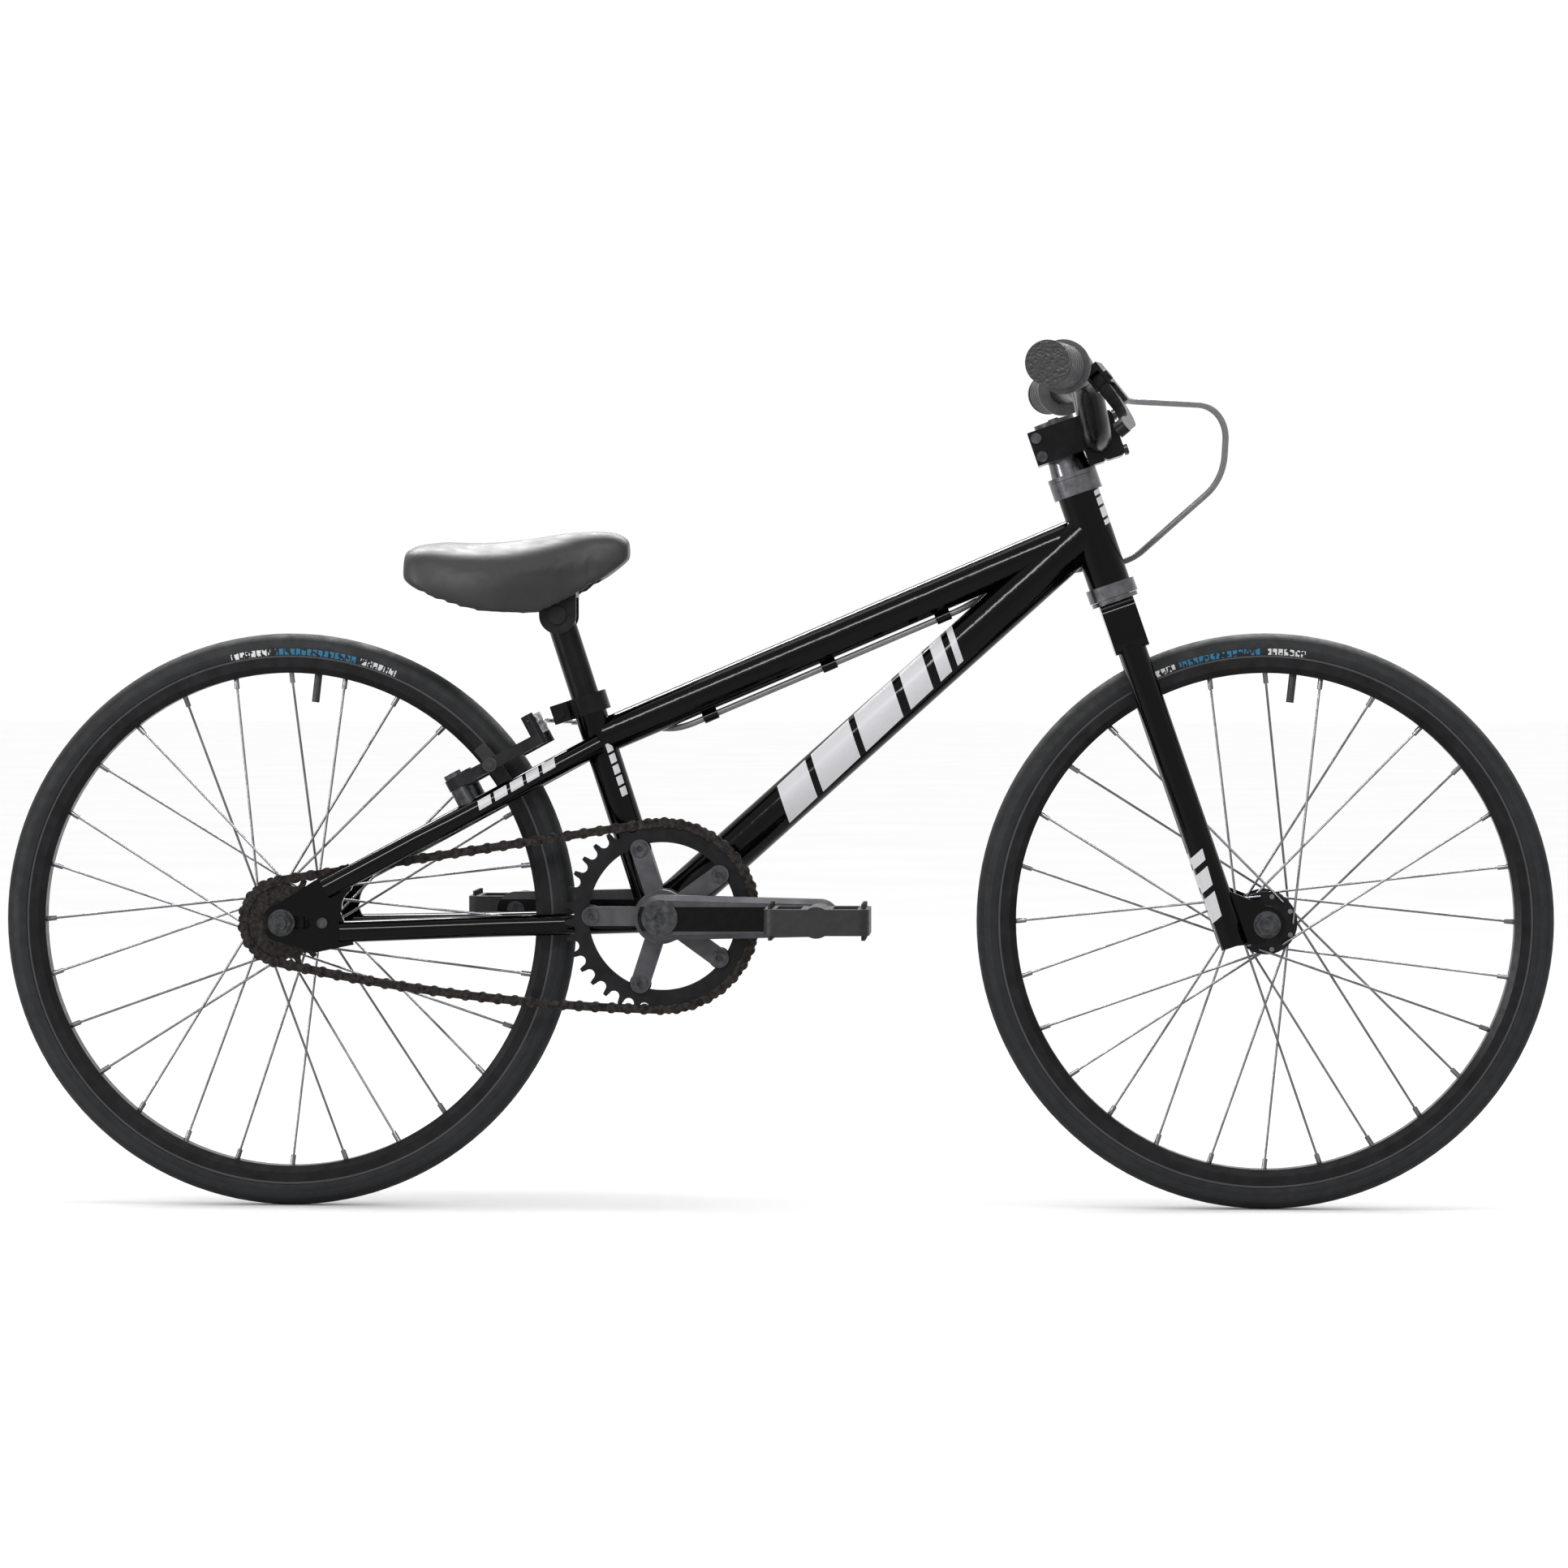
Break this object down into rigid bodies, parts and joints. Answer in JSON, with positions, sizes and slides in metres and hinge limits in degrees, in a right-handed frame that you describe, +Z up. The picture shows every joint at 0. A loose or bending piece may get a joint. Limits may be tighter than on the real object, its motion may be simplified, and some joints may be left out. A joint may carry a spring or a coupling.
{
  "type": "bmx bike",
  "caption": "Small BMX race bike with a rigid fork, single-speed chain drive, linear-pull rear brake, low-rise bar and padded saddle.",
  "frame": {"origin": "on the ground, midway between the two axles, in the bike's mid-plane", "axes": "+X forward, +Y to the rider's left, +Z up; the chain is on -Y"},
  "size_m": [1.214, 0.5298, 0.6688],
  "materials": {
    "frame_paint": "gloss black",
    "black_alloy": "satin black anodised",
    "grey_alloy": "satin grey",
    "silver_alloy": "bright",
    "steel": "zinc plated",
    "chain_steel": "oiled dark",
    "spoke_steel": "drawn",
    "tyre_rubber": "charcoal",
    "tube_rubber": "matt",
    "pad_rubber": "matt",
    "grip_rubber": "matt",
    "pedal_resin": "moulded",
    "cable_jacket": "grey",
    "saddle_vinyl": "smooth vinyl",
    "saddle_resin": "moulded"
  },
  "bodies": {
    "frame": {"head_tube": "frame_paint", "bottom_bracket_shell": "frame_paint", "seat_tube": "frame_paint", "down_tube": "frame_paint", "top_tube": "frame_paint", "chainstays": "frame_paint", "seatstays": "frame_paint", "dropouts": "frame_paint", "headset_cups": "black_alloy", "bottom_bracket_cups": "black_alloy", "cable_guides": "frame_paint", "rear_axle": "steel", "rear_axle_nuts": "steel", "brake_bosses": "steel", "seat_clamp": "black_alloy", "brake_cable_housing": "cable_jacket", "chain": "chain_steel"},
    "steering": {"fork_steerer": "black_alloy", "fork_crown": "frame_paint", "fork_legs": "frame_paint", "headset_cover": "black_alloy", "stem_body": "black_alloy", "stem_faceplate": "black_alloy", "stem_bolts": "steel", "handlebar": "black_alloy", "grips": "grip_rubber", "lever_bracket": "black_alloy", "front_axle": "steel"},
    "front_wheel": {"front_rim": "black_alloy", "front_tyre": "tyre_rubber", "front_inner_tube": "tube_rubber", "front_spokes": "spoke_steel", "front_hub": "black_alloy"},
    "rear_wheel": {"rear_rim": "black_alloy", "rear_tyre": "tyre_rubber", "rear_inner_tube": "tube_rubber", "rear_spokes": "spoke_steel", "rear_hub": "black_alloy", "freewheel_core": "steel"},
    "freewheel": {"freewheel_cog": "steel"},
    "cranks": {"chainring": "black_alloy", "chainring_spider": "grey_alloy", "crank_spindle": "steel", "crank_arm_right": "black_alloy", "crank_arm_left": "black_alloy", "crank_bolts": "steel", "pedal_axles": "steel"},
    "pedal_right": {"pedal_right": "pedal_resin"},
    "pedal_left": {"pedal_left": "pedal_resin"},
    "brake_lever": {"brake_lever": "black_alloy"},
    "brake_arm_right": {"brake_arm_right": "black_alloy", "brake_pad_right": "pad_rubber"},
    "brake_arm_left": {"brake_arm_left": "black_alloy", "brake_pad_left": "pad_rubber", "brake_noodle": "silver_alloy", "brake_inner_cable": "steel"},
    "seatpost": {"seatpost": "black_alloy"},
    "saddle": {"saddle_bracket": "black_alloy", "saddle_base": "saddle_resin", "saddle_pad": "saddle_vinyl"}
  },
  "joints": [
    {"name": "steering", "type": "hinge", "parent": "frame", "child": "steering", "pos_m": [0.26072, 0, 0.48815], "axis": [-0.3256, 0, 0.9455], "range_deg": [-80, 80], "deforming": ["brake_cable_housing"]},
    {"name": "front_wheel_spin", "type": "hinge", "parent": "steering", "child": "front_wheel", "pos_m": [0.382, 0, 0.225], "axis": [0, 1, 0], "continuous": true},
    {"name": "rear_wheel_spin", "type": "hinge", "parent": "frame", "child": "rear_wheel", "pos_m": [-0.382, 0, 0.225], "axis": [0, 1, 0], "continuous": true},
    {"name": "crank_spin", "type": "hinge", "parent": "frame", "child": "cranks", "pos_m": [-0.08661, 0, 0.23], "axis": [0, 1, 0], "continuous": true, "deforming": ["chain"]},
    {"name": "freewheel_spin", "type": "hinge", "parent": "frame", "child": "freewheel", "pos_m": [-0.382, 0, 0.225], "axis": [0, 1, 0], "continuous": true, "deforming": ["chain"]},
    {"name": "pedal_right_spin", "type": "hinge", "parent": "cranks", "child": "pedal_right", "pos_m": [0.03739, 0, 0.23], "axis": [0, 1, 0], "continuous": true},
    {"name": "pedal_left_spin", "type": "hinge", "parent": "cranks", "child": "pedal_left", "pos_m": [-0.21061, 0, 0.23], "axis": [0, 1, 0], "continuous": true},
    {"name": "lever_squeeze", "type": "hinge", "parent": "steering", "child": "brake_lever", "pos_m": [0.25206, -0.1604, 0.63951], "axis": [-0.7696, 0.139, -0.6232], "range_deg": [0, 20], "stiffness_Nm_per_rad": 0.6, "springref_deg": -11.46, "deforming": ["brake_cable_housing", "brake_inner_cable"]},
    {"name": "brake_arm_right_swing", "type": "hinge", "parent": "frame", "child": "brake_arm_right", "pos_m": [-0.24702, -0.042, 0.33353], "axis": [-0.4727, 0, 0.8812], "range_deg": [0, 2.3], "deforming": ["brake_inner_cable"]},
    {"name": "brake_arm_left_swing", "type": "hinge", "parent": "frame", "child": "brake_arm_left", "pos_m": [-0.24702, 0.042, 0.33353], "axis": [0.4727, 0, -0.8812], "range_deg": [0, 2.3], "deforming": ["brake_inner_cable", "brake_cable_housing"]},
    {"name": "seatpost_slide", "type": "slide", "parent": "frame", "child": "seatpost", "axis": [-0.309, 0, 0.9511], "range_m": [-0.03, 0.025]},
    {"name": "saddle_tilt", "type": "hinge", "parent": "seatpost", "child": "saddle", "pos_m": [-0.17063, 0, 0.46396], "axis": [0, 1, 0], "range_deg": [-10, 10]}
  ],
  "couplings": [
    {"joint": "freewheel_spin", "follows": "crank_spin", "ratio": 2.25},
    {"joint": "brake_arm_right_swing", "follows": "lever_squeeze", "ratio": 0.1089},
    {"joint": "brake_arm_left_swing", "follows": "lever_squeeze", "ratio": 0.1089}
  ]
}
